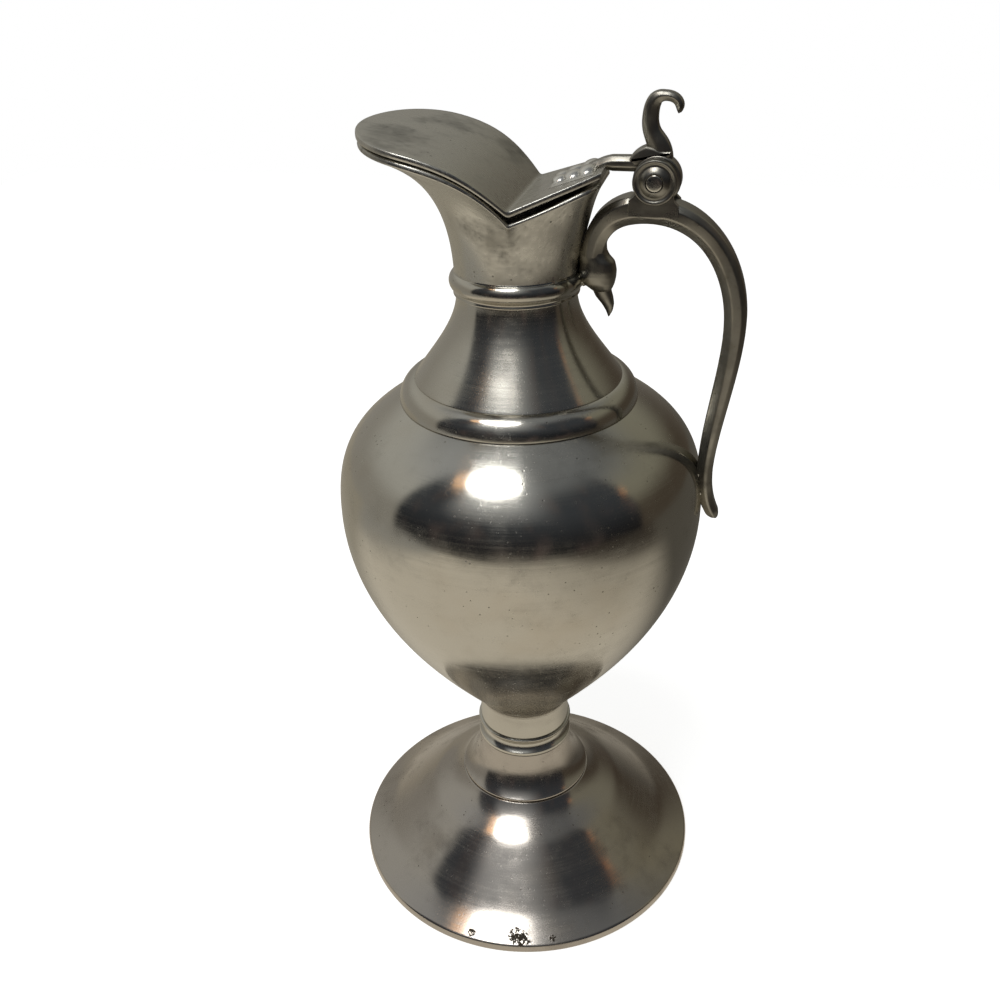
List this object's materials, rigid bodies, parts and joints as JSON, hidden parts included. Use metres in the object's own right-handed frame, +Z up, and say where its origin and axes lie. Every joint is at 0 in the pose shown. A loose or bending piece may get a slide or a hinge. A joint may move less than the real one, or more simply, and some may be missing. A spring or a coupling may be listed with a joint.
{
  "type": "creamer",
  "caption": "Footed pewter creamer with a pear-shaped bowl, drawn-out pouring lip, folded hinged lid with a scroll thumbpiece, and a C-scroll handle ending in a bird head.",
  "frame": {"origin": "centre of the foot rim on the table", "axes": "+Z up along the axis of the bowl, +X toward the handle, -X toward the pouring lip, hinge pin along Y"},
  "size_m": [0.084, 0.0806, 0.1769],
  "materials": {
    "pewter_satin": "satin polished pewter with fine turning marks",
    "pewter_bright": "polished pewter",
    "pewter_dull": "dull pewter with fine scratches and tarnish",
    "pewter_cast": "cast pewter with softly bevelled edges",
    "solder": "rough bright solder"
  },
  "bodies": {
    "jug": {"foot_shell": "pewter_satin", "stem_flare": "pewter_satin", "stem_knop": "pewter_satin", "stem_drum": "pewter_bright", "bowl": "pewter_satin", "shoulder_band": "pewter_satin", "neck_cone": "pewter_satin", "neck_bead": "pewter_satin", "spout_cup": "pewter_dull", "handle": "pewter_cast", "upper_pad": "solder", "lower_pad": "solder", "hinge_pin": "pewter_bright"},
    "lid": {"lid_plate": "pewter_dull", "lid_strap": "pewter_cast", "thumbpiece": "pewter_cast"}
  },
  "joints": [
    {"name": "lid_hinge", "type": "hinge", "parent": "jug", "child": "lid", "pos_m": [0.0258, 0, 0.162], "axis": [0, 1, 0], "range_deg": [0, 90]}
  ]
}
